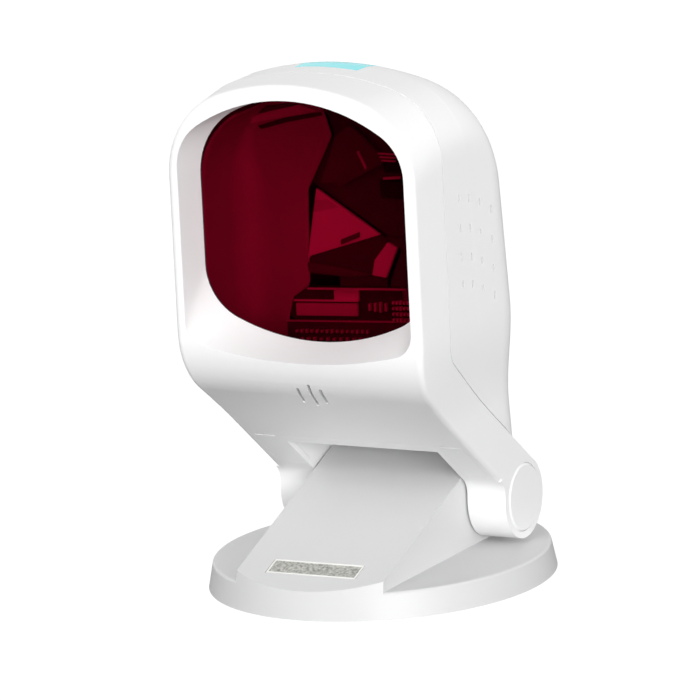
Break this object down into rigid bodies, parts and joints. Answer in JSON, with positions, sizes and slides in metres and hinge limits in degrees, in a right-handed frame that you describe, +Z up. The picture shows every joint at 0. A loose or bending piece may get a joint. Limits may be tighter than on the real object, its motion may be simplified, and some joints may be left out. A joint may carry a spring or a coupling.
{
  "type": "presentation barcode scanner",
  "caption": "Hands-free barcode scanner: arched white head with a large red window, tilting on a friction knuckle above an oval weighted foot.",
  "frame": {"origin": "centre of the oval foot on the counter, at the underside of the rubber pads", "axes": "+Z up, the scan window faces -Y, +X to the right when the window is looked at"},
  "size_m": [0.099, 0.1088, 0.1546],
  "materials": {
    "white_shell": "satin white ABS moulding",
    "badge": "speckled grey, blank",
    "steel": "zinc plated",
    "ballast_iron": "cast",
    "rubber_foot": "matte",
    "bush_plastic": "natural acetal",
    "label": "blank printed film",
    "red_pane": "polished red filter",
    "cyan_lens": "frosted cyan polycarbonate",
    "circuit_board": "solder mask",
    "black_plastic": "matte black",
    "mirror_glass": "front-silvered",
    "polygon_metal": "diamond-turned facets",
    "motor_metal": "turned",
    "brass": "machined",
    "lamp": "clear lamp bodies"
  },
  "bodies": {
    "stand": {"stand_shell": "white_shell", "base_plate": "steel", "ballast_weight": "ballast_iron", "rubber_feet": "rubber_foot", "base_screws": "steel", "badge_plate": "badge", "pivot_bushes": "bush_plastic", "rating_label": "label"},
    "head": {"beeper": "black_plastic", "board_parts": "black_plastic", "cable_socket": "black_plastic", "chassis_screws": "steel", "collecting_mirror": "mirror_glass", "friction_washers": "bush_plastic", "front_shell": "white_shell", "hinge_nuts": "steel", "hinge_shaft": "steel", "indicator_board": "circuit_board", "indicator_lamps": "lamp", "indicator_lens": "cyan_lens", "laser_holder": "black_plastic", "laser_module": "brass", "left_knuckle_cap": "white_shell", "main_board": "circuit_board", "optical_chassis": "black_plastic", "pattern_mirror_centre": "mirror_glass", "pattern_mirror_lower": "mirror_glass", "pattern_mirror_right": "mirror_glass", "pattern_mirror_upper_left": "mirror_glass", "pattern_mirror_upper_right": "mirror_glass", "photodiode": "black_plastic", "polygon_motor": "motor_metal", "rear_shell": "white_shell", "receiver_board": "circuit_board", "right_knuckle_cap": "white_shell", "scan_window": "red_pane", "shell_screws": "steel", "socket_contacts": "brass", "spring_washers": "steel", "underside_cover": "white_shell", "window_seal": "rubber_foot"},
    "rotor": {"motor_rotor": "motor_metal", "polygon_mirror": "polygon_metal"}
  },
  "joints": [
    {"name": "head_tilt", "type": "hinge", "parent": "stand", "child": "head", "pos_m": [0, 0.02007, 0.02134], "axis": [1, 0, 0], "range_deg": [-30, 20]},
    {"name": "polygon_spin", "type": "hinge", "parent": "head", "child": "rotor", "pos_m": [0.019, 0.002, 0.09], "axis": [0, 0, 1], "continuous": true}
  ]
}
